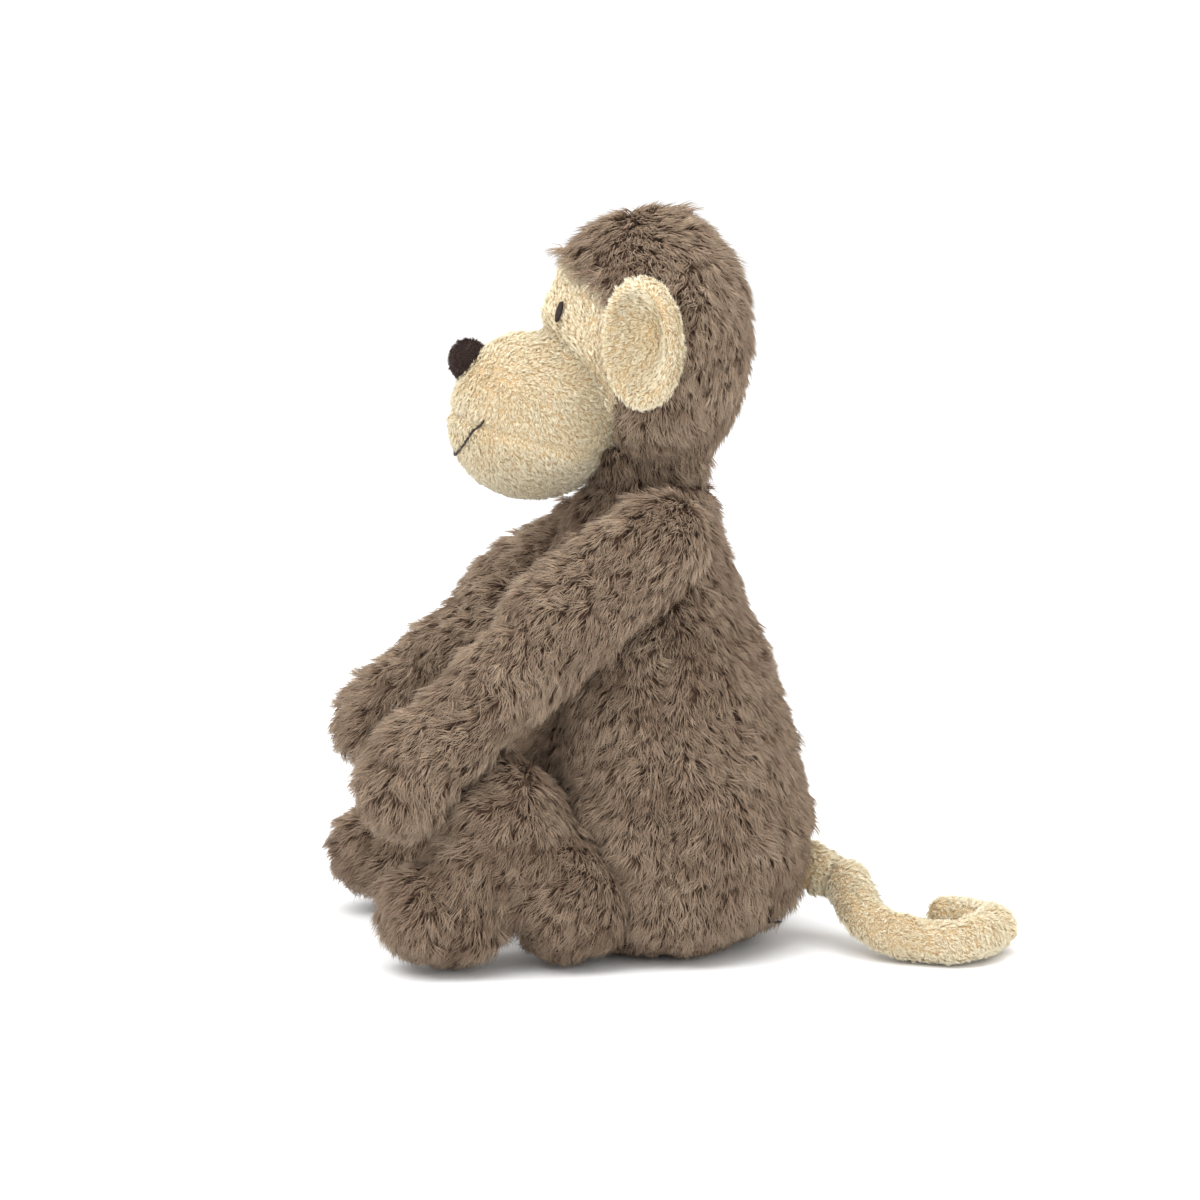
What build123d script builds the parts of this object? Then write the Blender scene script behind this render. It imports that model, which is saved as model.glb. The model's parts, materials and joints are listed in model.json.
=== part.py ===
"""Seated plush monkey: fabric panels over stuffing, jointed at the sewn seams.

Millimetres. Z is up, the face looks along -Y, +X is the toy's own left side.
The origin is the middle of the flat seat on the ground.
"""

import os
from math import asin, cos, radians, sin, sqrt

from build123d import *

# ---- cloth and fits ----
SKIN = 2.0
FIT = 0.15
JOINT_GAP = 0.7
CUT_STEP = 0.05

# ---- torso sections: height, front reach, back reach, half width ----
SEAT_HEIGHT = 0.0
SEAT_FRONT = 22.0
SEAT_BACK = 32.0
SEAT_SIDE = 33.0

ROUND_HEIGHT = 6.0
ROUND_FRONT = 28.0
ROUND_BACK = 41.0
ROUND_SIDE = 42.0

RUMP_HEIGHT = 22.0
RUMP_FRONT = 32.0
RUMP_BACK = 50.5
RUMP_SIDE = 47.5

BELLY_HEIGHT = 43.0
BELLY_FRONT = 34.0
BELLY_BACK = 51.0
BELLY_SIDE = 48.5

WAIST_HEIGHT = 72.0
WAIST_FRONT = 31.0
WAIST_BACK = 44.0
WAIST_SIDE = 44.0

CHEST_HEIGHT = 96.0
CHEST_FRONT = 25.5
CHEST_BACK = 35.0
CHEST_SIDE = 36.5

SHOULDER_HEIGHT = 120.0
SHOULDER_FRONT = 18.0
SHOULDER_BACK = 26.0
SHOULDER_SIDE = 28.0

COLLAR_HEIGHT = 143.0
COLLAR_FRONT = 12.0
COLLAR_BACK = 19.0
COLLAR_SIDE = 19.0

BASE_PANEL_HEIGHT = 9.0
SIDE_SEAM_Y = 5.0

# ---- seat bean bag, label ----
BEAN_BAG_HEIGHT = 15.0
BEAN_BAG_RADIUS = 21.0
BEAN_BAG_Z = 14.0
LABEL_WIDTH = 9.0
LABEL_DROP = 4.0
LABEL_THICKNESS = 0.8
LABEL_X = 22.0
LABEL_Z = 10.0

# ---- neck ----
NECK_RADIUS = 14.0
NECK_RISE = 4.0
NECK_Y = 5.0

# ---- head ----
HEAD_SIDE = 37.0
HEAD_DEPTH = 28.5
HEAD_HALF_HEIGHT = 39.5
HEAD_SINK = 2.5
CROWN_HALF_WIDTH = 11.0
FACE_EDGE_Y = -11.0
FACE_TILT = 14.0

# ---- muzzle, nose, mouth, eyes ----
MUZZLE_SIDE = 29.0
MUZZLE_RADIUS = 25.0
MUZZLE_FORWARD = 38.0
MUZZLE_DROP = 23.5
CHIN_SEAM_DROP = 4.0
NOSE_SIDE = 7.0
NOSE_DEPTH = 6.0
NOSE_HALF_HEIGHT = 6.5
NOSE_RISE = 17.0
MOUTH_HALF_WIDTH = 22.0
MOUTH_DROP = 11.0
MOUTH_CURL = 13.0
THREAD = 0.8
EYE_X = 15.0
EYE_RISE = 9.0
EYE_SIDE = 1.6
EYE_HALF_HEIGHT = 3.2
EYE_BULGE = 1.3

# ---- ears ----
EAR_HALF_HEIGHT = 19.5
EAR_HALF_WIDTH = 14.5
EAR_THICKNESS = 7.0
EAR_SKIN = 1.5
EAR_RIM = 0.42
EAR_Y = -9.0
EAR_RISE = 4.5
EAR_SWEEP = 42.0
EAR_ROOT = 0.82
EAR_FOLD = 24.0

# ---- arms ----
SHOULDER_RADIUS = 14.5
HAND_RADIUS = 15.5
LEFT_ARM_LENGTH = 102.0
LEFT_ARM_DROP = 41.8
RIGHT_ARM_LENGTH = 104.0
RIGHT_ARM_DROP = 38.5
ARM_OUT = 6.0
SHOULDER_BELOW_COLLAR = 15.5
SHOULDER_OUT = 4.0
ARM_Y = 3.0
ARM_LIFT = 50.0
LIFTED_OUT = 62.0
LIFTED_RISE = 22.0

# ---- legs ----
HIP_RADIUS = 18.5
KNEE_RADIUS = 17.0
FOOT_RADIUS = 16.5
TOE_RADIUS = 16.0
HIP_X = 33.0
HIP_Y = -24.0
LEFT_THIGH = 30.0
LEFT_THIGH_RISE = 52.0
LEFT_SHIN_REACH = 15.5
RIGHT_THIGH = 36.0
RIGHT_THIGH_RISE = 38.0
RIGHT_SHIN_REACH = 19.0
FOOT_OUT = 3.0
LEG_OUT = 8.0
TOE_REACH = 7.0
TOE_RISE = 3.0
LEG_SPLAY = 24.0

# ---- tail ----
TAIL_RADIUS = 6.6
TAIL_LIE = 7.4
TAIL_ROOT_Y = 49.0
TAIL_ROOT_Z = 22.0
TAIL_SEAM_X = 9.0
TAIL_SEAM_Y = 62.5
TAIL_SEAM_Z = 18.5
TAIL_BEND_X = 33.0
TAIL_BEND_Y = 71.0
TAIL_TURN_X = 40.0
TAIL_TURN_Y = 96.0
TAIL_END_X = 26.0
TAIL_END_Y = 105.0
TAIL_TIP_X = 14.0
TAIL_TIP_Y = 93.0
TAIL_SKIN = 1.4
TAIL_SWING = 25.0
TAIL_RINGS = 10

NODES = {}


def direction(out, rise):
    """Unit vector: forward (-Y) turned outward and raised, in degrees."""
    flat = cos(radians(rise))
    return Vector(flat * sin(radians(out)), -flat * cos(radians(out)), sin(radians(rise)))


def mirrored(shape):
    return mirror(shape, about=Plane.YZ)


def ball(radius, centre):
    return Pos(*centre) * Sphere(radius)


def ellipsoid(side, depth, half_height, centre):
    quarter = Rot(0, 0, 90) * scale(Sphere(1), by=(depth, side, half_height))
    return Pos(*centre) * quarter


def limb(start, start_radius, end, end_radius, grow=0.0):
    """Straight stuffed tube with round ends, tangent between its two end balls."""
    r0 = start_radius + grow
    r1 = end_radius + grow
    span = (end - start).length
    lean = asin((r0 - r1) / span)
    a = (0, -r0)
    b = (r0 * cos(lean), r0 * sin(lean))
    c = (r1 * cos(lean), span + r1 * sin(lean))
    d = (0, span + r1)
    under = radians(-45) + lean / 2
    over = radians(45) + lean / 2
    arc_0 = ThreePointArc(a, (r0 * cos(under), r0 * sin(under)), b)
    arc_1 = ThreePointArc(c, (r1 * cos(over), span + r1 * sin(over)), d)
    outline = make_face([arc_0, Line(b, c), arc_1, Line(d, a)])
    body = revolve(Plane.XZ * outline, Axis.Z)
    return Plane(origin=start, z_dir=end - start) * body


def spheroid(side, radius, centre):
    """Egg of revolution lying along X."""
    outline = Ellipse(side, radius) & Pos(0, radius / 2) * Rectangle(2 * side, radius)
    return Pos(*centre) * revolve(outline, Axis.X)


def turned(shape, pivot, axis, angle):
    return shape.rotate(Axis(pivot, axis), angle)


def half(shape, plane, side):
    return split(shape, bisect_by=plane, keep=side)


def add(name, shape):
    NODES[name] = shape


# ---- torso volume ----
SECTIONS = [
    (SEAT_HEIGHT, SEAT_FRONT, SEAT_BACK, SEAT_SIDE),
    (ROUND_HEIGHT, ROUND_FRONT, ROUND_BACK, ROUND_SIDE),
    (RUMP_HEIGHT, RUMP_FRONT, RUMP_BACK, RUMP_SIDE),
    (BELLY_HEIGHT, BELLY_FRONT, BELLY_BACK, BELLY_SIDE),
    (WAIST_HEIGHT, WAIST_FRONT, WAIST_BACK, WAIST_SIDE),
    (CHEST_HEIGHT, CHEST_FRONT, CHEST_BACK, CHEST_SIDE),
    (SHOULDER_HEIGHT, SHOULDER_FRONT, SHOULDER_BACK, SHOULDER_SIDE),
    (COLLAR_HEIGHT, COLLAR_FRONT, COLLAR_BACK, COLLAR_SIDE),
]


def torso_volume(inset):
    """Pear of elliptical sections, drawn in from the cloth surface by inset."""
    rings = []
    for height, front, back, side in SECTIONS:
        if height == SEAT_HEIGHT:
            z = height + inset
        elif height == COLLAR_HEIGHT:
            z = height - inset
        else:
            z = height
        middle = (back - front) / 2
        ring = Ellipse(side - inset, (front + back) / 2 - inset)
        rings.append(Pos(0, middle, z) * ring)
    return loft(rings)


# ---- limb placement ----
neck_pivot = Vector(0, NECK_Y, COLLAR_HEIGHT + NECK_RISE)
head_centre = Vector(0, NECK_Y, neck_pivot.Z + HEAD_HALF_HEIGHT - HEAD_SINK)
shoulder = Vector(SHOULDER_SIDE + SHOULDER_OUT, ARM_Y, COLLAR_HEIGHT - SHOULDER_BELOW_COLLAR)
hip = Vector(HIP_X, HIP_Y, HIP_RADIUS)
tail_root = Vector(0, TAIL_ROOT_Y, TAIL_ROOT_Z)
tail_seam = Vector(TAIL_SEAM_X, TAIL_SEAM_Y, TAIL_SEAM_Z)


class Arm:
    """One arm, laid out on the left; the right one is mirrored afterwards."""

    def __init__(self, length, drop):
        self.hand = shoulder + direction(ARM_OUT, -drop) * length
        self.along = (self.hand - shoulder).normalized()
        self.axis = self.along.cross(direction(LIFTED_OUT, LIFTED_RISE)).normalized()

    def volume(self, grow=0.0):
        return limb(shoulder, SHOULDER_RADIUS, self.hand, HAND_RADIUS, grow)


class Leg:
    """One bent leg, laid out on the left; the right one is mirrored afterwards."""

    def __init__(self, thigh_length, rise, shin_reach):
        self.knee = hip + direction(LEG_OUT, rise) * thigh_length
        self.along = (self.knee - hip).normalized()
        self.foot = Vector(self.knee.X + FOOT_OUT, self.knee.Y - shin_reach, FOOT_RADIUS)
        self.toe = Vector(self.foot.X + 1, self.foot.Y - TOE_REACH, TOE_RADIUS + TOE_RISE)

    def thigh(self, grow=0.0):
        return limb(hip, HIP_RADIUS, self.knee, KNEE_RADIUS, grow)

    def foot_volume(self, grow=0.0):
        shin = limb(self.knee, KNEE_RADIUS - 1.2, self.foot, FOOT_RADIUS, grow)
        return shin + limb(self.foot, FOOT_RADIUS - 0.6, self.toe, TOE_RADIUS, grow)


ARMS = {
    "left": Arm(LEFT_ARM_LENGTH, LEFT_ARM_DROP),
    "right": Arm(RIGHT_ARM_LENGTH, RIGHT_ARM_DROP),
}
LEGS = {
    "left": Leg(LEFT_THIGH, LEFT_THIGH_RISE, LEFT_SHIN_REACH),
    "right": Leg(RIGHT_THIGH, RIGHT_THIGH_RISE, RIGHT_SHIN_REACH),
}


def placed(shape, side):
    """The shape on its own side of the toy."""
    return mirrored(shape) if side == "right" else shape


# ---- tail volumes ----
def tail_root_volume(grow=0.0):
    body = limb(tail_root, TAIL_RADIUS + 1.0, tail_seam, TAIL_RADIUS - 0.4, grow)
    return body - ball(TAIL_RADIUS + JOINT_GAP - grow, tail_seam)


tail_path = Spline(
    tail_seam,
    Vector(TAIL_BEND_X, TAIL_BEND_Y, TAIL_LIE + 1),
    Vector(TAIL_TURN_X, TAIL_TURN_Y, TAIL_LIE),
    Vector(TAIL_END_X, TAIL_END_Y, TAIL_LIE),
    Vector(TAIL_TIP_X, TAIL_TIP_Y, TAIL_LIE),
    tangents=[Vector(14, 5, -7), Vector(-0.4, -1, 0)],
)


def tail_volume(radius):
    """Stuffed tube along the tail path with a round cap at each end."""
    rings = []
    for cap_angle in (12, 30, 52, 74):
        back = radius * cos(radians(cap_angle))
        spot = tail_path @ 0 - (tail_path % 0) * back
        rings.append(Plane(origin=spot, z_dir=tail_path % 0) * Circle(radius * sin(radians(cap_angle))))
    for i in range(TAIL_RINGS + 1):
        at = i / TAIL_RINGS
        rings.append(Plane(origin=tail_path @ at, z_dir=tail_path % at) * Circle(radius))
    for cap_angle in (74, 52, 30, 12):
        ahead = radius * cos(radians(cap_angle))
        spot = tail_path @ 1 + (tail_path % 1) * ahead
        rings.append(Plane(origin=spot, z_dir=tail_path % 1) * Circle(radius * sin(radians(cap_angle))))
    return loft(rings)


# ---- clearances cut into the torso for everything that turns in it ----
def socketed(body, wall):
    """Torso body with the neck, shoulder, hip and tail pockets opened in it."""
    gap = JOINT_GAP + wall
    upright = Vector(0, 0, 1)
    body = body - ball(NECK_RADIUS + gap, neck_pivot)
    for i in range(3):
        step = gap + CUT_STEP * (2 - i)
        for side in ("left", "right"):
            arm_cutter = turned(ARMS[side].volume(step), shoulder, ARMS[side].axis, ARM_LIFT * i / 2)
            leg_cutter = turned(LEGS[side].thigh(step), hip, upright, LEG_SPLAY * i / 2)
            body = body - placed(arm_cutter, side) - placed(leg_cutter, side)
        body = body - turned(tail_root_volume(step), tail_root, upright, TAIL_SWING * (i - 1))
    return body


torso_skin = socketed(torso_volume(0) - torso_volume(SKIN), 0)
bag = Pos(0, NECK_Y, BEAN_BAG_Z) * Cylinder(BEAN_BAG_RADIUS, BEAN_BAG_HEIGHT)
bag = fillet(bag.edges(), BEAN_BAG_HEIGHT / 3)
bag_hollow = Pos(0, NECK_Y, BEAN_BAG_Z) * Cylinder(BEAN_BAG_RADIUS - 1, BEAN_BAG_HEIGHT - 2)
bag_hollow = fillet(bag_hollow.edges(), BEAN_BAG_HEIGHT / 3 - 1)
bag_room = Pos(0, NECK_Y, BEAN_BAG_Z) * Cylinder(BEAN_BAG_RADIUS + FIT, BEAN_BAG_HEIGHT + 2 * FIT)
core = socketed(torso_volume(SKIN + FIT), FIT)

base_plane = Plane(origin=(0, 0, BASE_PANEL_HEIGHT))
seam_plane = Plane(origin=(0, SIDE_SEAM_Y, 0), z_dir=(0, 1, 0))
middle_plane = Plane(origin=(0, 0, 0), z_dir=(1, 0, 0))
upper_skin = half(torso_skin, base_plane, Keep.TOP)
back_skin = half(upper_skin, seam_plane, Keep.TOP)
add("torso_base_panel", half(torso_skin, base_plane, Keep.BOTTOM))
add("torso_front_panel", half(upper_skin, seam_plane, Keep.BOTTOM))
add("torso_back_left_panel", half(back_skin, middle_plane, Keep.TOP))
add("torso_back_right_panel", half(back_skin, middle_plane, Keep.BOTTOM))
add("torso_stuffing", core - bag_room)
add("seat_bean_bag", bag - bag_hollow)
add("seat_bean_fill", bag_hollow)

label_y = ROUND_BACK - 1.0
label = Pos(LABEL_X, label_y, LABEL_Z) * Box(LABEL_WIDTH, LABEL_DROP * 2, LABEL_THICKNESS)
add("care_label", label - torso_volume(0))

# ---- neck: gathered sleeve round a stuffing plug ----
neck_core = ball(NECK_RADIUS - SKIN - FIT, neck_pivot)
add("neck_sleeve", ball(NECK_RADIUS, neck_pivot) - ball(NECK_RADIUS - SKIN, neck_pivot))
add("neck_stuffing", neck_core)

# ---- head ----
ear_hinge_x = HEAD_SIDE * sqrt(1 - ((EAR_Y - head_centre.Y) / HEAD_DEPTH) ** 2) - 1.0
ear_hinge = Vector(ear_hinge_x, EAR_Y, head_centre.Z + EAR_RISE)


def ear_volume(grow=0.0):
    """Flat oval cushion with rounded rims, standing on its sewn front edge."""
    half_width = EAR_HALF_WIDTH + grow
    half_height = EAR_HALF_HEIGHT + grow
    thickness = EAR_THICKNESS + 2 * grow
    disc = extrude(Ellipse(half_width, half_height), thickness / 2, both=True)
    disc = fillet(disc.edges(), thickness * EAR_RIM)
    upright = Rot(90, 0, 0) * disc
    return Pos(*ear_hinge) * Rot(0, 0, EAR_SWEEP) * Pos(EAR_HALF_WIDTH * EAR_ROOT, 0, 0) * upright


def head_shell(inset):
    return ellipsoid(HEAD_SIDE - inset, HEAD_DEPTH - inset, HEAD_HALF_HEIGHT - inset, head_centre)


def head_opened(body, wall):
    """Head body with the neck opening and the two ear slots."""
    body = body - ball(NECK_RADIUS + JOINT_GAP + wall, neck_pivot)
    cutter = ear_volume(JOINT_GAP + wall)
    for angle in (-EAR_FOLD, 0, EAR_FOLD):
        slot = turned(cutter, ear_hinge, Vector(0, 0, 1), angle)
        body = body - slot - mirrored(slot)
    return body


head_skin = head_opened(head_shell(0) - head_shell(SKIN), 0)
face_plane = Plane(
    origin=(0, FACE_EDGE_Y, head_centre.Z),
    z_dir=(0, -cos(radians(FACE_TILT)), -sin(radians(FACE_TILT))),
)
crown_left = Plane(origin=(CROWN_HALF_WIDTH, 0, 0), z_dir=(1, 0, 0))
crown_right = Plane(origin=(-CROWN_HALF_WIDTH, 0, 0), z_dir=(1, 0, 0))
brown_skin = half(head_skin, face_plane, Keep.BOTTOM)
add("face_panel", half(head_skin, face_plane, Keep.TOP))
add("head_left_panel", half(brown_skin, crown_left, Keep.TOP))
add("head_right_panel", half(brown_skin, crown_right, Keep.BOTTOM))
crown = half(half(brown_skin, crown_left, Keep.BOTTOM), crown_right, Keep.TOP)
add("crown_gusset", crown)
add("head_stuffing", head_opened(head_shell(SKIN + FIT), FIT))

# ---- muzzle ----
muzzle_centre = head_centre + Vector(0, -MUZZLE_FORWARD, -MUZZLE_DROP)
head_solid = ellipsoid(HEAD_SIDE + FIT, HEAD_DEPTH + FIT, HEAD_HALF_HEIGHT + FIT, head_centre)


def muzzle_egg(inset):
    return spheroid(MUZZLE_SIDE - inset, MUZZLE_RADIUS - inset, muzzle_centre)


muzzle_ball = muzzle_egg(0)
muzzle_skin = muzzle_egg(0) - muzzle_egg(SKIN) - head_solid
chin_plane = Plane(
    origin=muzzle_centre - Vector(0, 0, CHIN_SEAM_DROP), z_dir=(0, sin(radians(15)), cos(radians(15)))
)
add("muzzle_upper_panel", half(muzzle_skin, chin_plane, Keep.TOP))
add("muzzle_chin_panel", half(muzzle_skin, chin_plane, Keep.BOTTOM))
add("muzzle_stuffing", muzzle_egg(SKIN + FIT) - head_solid)


def muzzle_front(x, z):
    """Y of the muzzle surface at a sideways and upright offset from its centre."""
    return muzzle_centre.Y - MUZZLE_RADIUS * sqrt(
        1 - (x / MUZZLE_SIDE) ** 2 - (z / MUZZLE_RADIUS) ** 2
    )


nose_centre = (0, muzzle_front(0, NOSE_RISE) - 1.5, muzzle_centre.Z + NOSE_RISE)
nose = ellipsoid(NOSE_SIDE, NOSE_DEPTH, NOSE_HALF_HEIGHT, nose_centre)
add("nose", nose - muzzle_ball - head_solid)

mouth_points = []
for i in range(-4, 5):
    x = MOUTH_HALF_WIDTH * i / 4
    z = MOUTH_CURL * (i / 4) ** 2 - MOUTH_DROP
    mouth_points.append(Vector(x, muzzle_front(x, z), muzzle_centre.Z + z))
mouth_path = Spline(*mouth_points)
mouth_start = Plane(origin=mouth_path @ 0, z_dir=mouth_path % 0)
add("mouth_stitch", sweep(mouth_start * Circle(THREAD), path=mouth_path) - muzzle_ball)

eye_y = head_centre.Y - HEAD_DEPTH * sqrt(
    1 - (EYE_X / HEAD_SIDE) ** 2 - (EYE_RISE / HEAD_HALF_HEIGHT) ** 2
)
eye = ellipsoid(EYE_SIDE, EYE_BULGE, EYE_HALF_HEIGHT, (0, 0, 0))
eye = Pos(EYE_X, eye_y, head_centre.Z + EYE_RISE) * Rot(0, 0, 24) * eye - head_solid
add("eye_left", eye)
add("eye_right", mirrored(eye))

# ---- ears ----
ear_outer = ear_volume()
ear_inner = ear_volume(-EAR_SKIN)
ear_facing = Vector(sin(radians(EAR_SWEEP)), -cos(radians(EAR_SWEEP)), 0)
ear_plane = Plane(origin=ear_hinge, z_dir=ear_facing)
ear_skin = ear_outer - ear_inner
ear_parts = {
    "lining": half(ear_skin, ear_plane, Keep.TOP),
    "back": half(ear_skin, ear_plane, Keep.BOTTOM),
    "stuffing": ear_volume(-EAR_SKIN - FIT),
}

for side in ("left", "right"):
    for part_name, shape in ear_parts.items():
        add(f"ear_{side}_{part_name}", placed(shape, side))


# ---- arms and legs ----
def side_plane(root, along):
    """Plane through a limb's middle that parts its outer panel from its inner one."""
    outward = (Vector(1, 0, 0) - along * along.X).normalized()
    return Plane(origin=root, z_dir=outward)


for side in ("left", "right"):
    arm = ARMS[side]
    arm_skin = arm.volume() - arm.volume(-SKIN)
    arm_plane = side_plane(shoulder, arm.along)
    add(f"arm_{side}_outer_panel", placed(half(arm_skin, arm_plane, Keep.TOP), side))
    add(f"arm_{side}_inner_panel", placed(half(arm_skin, arm_plane, Keep.BOTTOM), side))
    add(f"arm_{side}_stuffing", placed(arm.volume(-SKIN - FIT), side))

    leg = LEGS[side]
    leg_skin = leg.thigh() - leg.thigh(-SKIN)
    leg_plane = side_plane(hip, leg.along)
    foot_skin = leg.foot_volume() - leg.foot_volume(-SKIN) - leg.thigh(FIT)
    add(f"leg_{side}_outer_panel", placed(half(leg_skin, leg_plane, Keep.TOP), side))
    add(f"leg_{side}_inner_panel", placed(half(leg_skin, leg_plane, Keep.BOTTOM), side))
    add(f"leg_{side}_stuffing", placed(leg.thigh(-SKIN - FIT), side))
    add(f"leg_{side}_foot_panel", placed(foot_skin, side))
    add(f"leg_{side}_foot_bean_fill", placed(leg.foot_volume(-SKIN - FIT) - leg.thigh(FIT), side))

# ---- tail ----
add("tail_root_sleeve", tail_root_volume() - tail_root_volume(-TAIL_SKIN))
add("tail_root_stuffing", tail_root_volume(-TAIL_SKIN - FIT))
add("tail_sleeve", tail_volume(TAIL_RADIUS) - tail_volume(TAIL_RADIUS - TAIL_SKIN))
add("tail_stuffing", tail_volume(TAIL_RADIUS - TAIL_SKIN - FIT))

os.makedirs("parts", exist_ok=True)
for node, shape in NODES.items():
    export_step(shape, f"parts/{node}.step")
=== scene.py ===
"""Visual model of the seated plush monkey: sewn skins, real pile tufts, stitched features, studio."""

import json
import math

import bpy
import numpy as np
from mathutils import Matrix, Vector
from mathutils.kdtree import KDTree


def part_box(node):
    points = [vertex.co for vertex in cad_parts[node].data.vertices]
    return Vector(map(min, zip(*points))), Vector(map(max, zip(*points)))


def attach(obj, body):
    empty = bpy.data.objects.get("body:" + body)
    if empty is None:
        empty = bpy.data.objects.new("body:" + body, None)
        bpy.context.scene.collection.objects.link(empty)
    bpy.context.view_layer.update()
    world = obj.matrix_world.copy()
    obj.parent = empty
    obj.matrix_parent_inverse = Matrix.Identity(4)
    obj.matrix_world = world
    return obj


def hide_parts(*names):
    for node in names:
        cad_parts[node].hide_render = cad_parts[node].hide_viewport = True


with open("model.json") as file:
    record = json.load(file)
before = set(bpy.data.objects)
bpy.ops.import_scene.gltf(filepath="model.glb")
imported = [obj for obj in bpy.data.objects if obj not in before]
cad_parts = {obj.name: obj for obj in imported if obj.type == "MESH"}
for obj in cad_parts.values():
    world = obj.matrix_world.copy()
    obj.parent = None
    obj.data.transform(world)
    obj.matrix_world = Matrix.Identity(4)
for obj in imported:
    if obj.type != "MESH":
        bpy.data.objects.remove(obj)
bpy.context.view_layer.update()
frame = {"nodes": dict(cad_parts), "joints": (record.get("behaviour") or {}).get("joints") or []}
MM = 0.001
JOINT = {j["name"]: np.array(j["pos_m"]) / MM for j in frame["joints"]}
UP = np.array([0.0, 0.0, 1.0])


def corners(*nodes):
    """Lowest and highest corner of some CAD nodes, in millimetres."""
    boxes = [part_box(n) for n in nodes]
    low = np.min([b[0] for b in boxes], axis=0) / MM
    high = np.max([b[1] for b in boxes], axis=0) / MM
    return low, high


def unit(v):
    return v / np.maximum(np.linalg.norm(v, axis=-1, keepdims=True), 1e-9)


def noise(p, scale, seed, octaves=3):
    """Smooth random field of about -1 to 1, at a wavelength in millimetres."""
    rng = np.random.default_rng(seed)
    total = np.zeros(len(p))
    for octave in range(octaves):
        for _ in range(5):
            k = unit(rng.normal(size=3)) * (2 * np.pi / scale) * 1.9**octave * rng.uniform(0.7, 1.3)
            total += np.sin(p @ k + rng.uniform(0, 2 * np.pi)) * 0.6**octave * 0.36
    return np.clip(total, -1.4, 1.4)


def step(x, low, high):
    """Smooth 0 to 1 between low and high."""
    t = np.clip((x - low) / (high - low), 0, 1)
    return t * t * (3 - 2 * t)


# ---------------------------------------------------------------- meshes


def mesh_object(name, points, faces, smooth=True):
    mesh = bpy.data.meshes.new(name)
    mesh.from_pydata((np.asarray(points) * MM).tolist(), [], [list(map(int, f)) for f in faces])
    mesh.update()
    obj = bpy.data.objects.new(name, mesh)
    bpy.context.scene.collection.objects.link(obj)
    if smooth:
        mesh.polygons.foreach_set("use_smooth", np.ones(len(mesh.polygons), bool))
    return obj


def points_of(obj):
    co = np.zeros(len(obj.data.vertices) * 3, np.float32)
    obj.data.vertices.foreach_get("co", co)
    return co.reshape(-1, 3).astype(float) / MM


def normals_of(obj):
    no = np.zeros(len(obj.data.vertices) * 3, np.float32)
    obj.data.vertex_normals.foreach_get("vector", no)
    return no.reshape(-1, 3).astype(float)


def move_points(obj, points):
    obj.data.vertices.foreach_set("co", (points * MM).astype(np.float32).ravel())
    obj.data.update()


def evaluated(obj, name):
    """A new object from obj with its modifiers applied; obj is removed."""
    graph = bpy.context.evaluated_depsgraph_get()
    mesh = bpy.data.meshes.new_from_object(obj.evaluated_get(graph))
    fresh = bpy.data.objects.new(name, mesh)
    bpy.context.scene.collection.objects.link(fresh)
    bpy.data.objects.remove(obj)
    return fresh


def skin_from(nodes, voxel, smooth):
    """One closed organic skin round some CAD nodes."""
    points, faces, base = [], [], 0
    for node in nodes:
        mesh = frame["nodes"][node].data
        co = np.zeros(len(mesh.vertices) * 3, np.float32)
        mesh.vertices.foreach_get("co", co)
        points.append(co.reshape(-1, 3) / MM)
        faces += [[v + base for v in p.vertices] for p in mesh.polygons]
        base += len(mesh.vertices)
    obj = mesh_object("blank", np.concatenate(points), faces)
    remesh = obj.modifiers.new("Remesh", "REMESH")
    remesh.mode = "VOXEL"
    remesh.voxel_size = voxel * MM
    soften = obj.modifiers.new("Smooth", "SMOOTH")
    soften.factor = 0.5
    soften.iterations = smooth
    obj = evaluated(obj, "blank")
    obj.data.polygons.foreach_set("use_smooth", np.ones(len(obj.data.polygons), bool))
    return obj


def puffed(obj, pressure, cap, frames=10):
    """Stuffing pressure from the cloth solver, applied, with a cap on how far a point moves."""
    rest = points_of(obj)
    cloth = obj.modifiers.new("Cloth", "CLOTH")
    cloth.settings.quality = 4
    cloth.settings.use_pressure = True
    cloth.settings.uniform_pressure_force = pressure
    cloth.settings.effector_weights.gravity = 0
    cloth.point_cache.frame_end = frames
    scene = bpy.context.scene
    for f in range(1, frames + 1):
        scene.frame_set(f)
    graph = bpy.context.evaluated_depsgraph_get()
    result = obj.evaluated_get(graph).data
    co = np.zeros(len(result.vertices) * 3, np.float32)
    result.vertices.foreach_get("co", co)
    moved = co.reshape(-1, 3) / MM - rest
    far = np.linalg.norm(moved, axis=1, keepdims=True)
    obj.modifiers.remove(cloth)
    scene.frame_set(1)
    move_points(obj, rest + moved * np.minimum(1, cap / np.maximum(far, 1e-6)))
    return obj


def part_of(obj, name, keep):
    """The faces of obj whose centres pass keep, as a piece of their own."""
    points = points_of(obj)
    faces = [list(p.vertices) for p in obj.data.polygons]
    centres = np.array([points[f].mean(0) for f in faces])
    chosen = [f for f, k in zip(faces, keep(centres)) if k]
    used = sorted({v for f in chosen for v in f})
    index = {v: i for i, v in enumerate(used)}
    return mesh_object(name, points[used], [[index[v] for v in f] for f in chosen])


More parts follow.
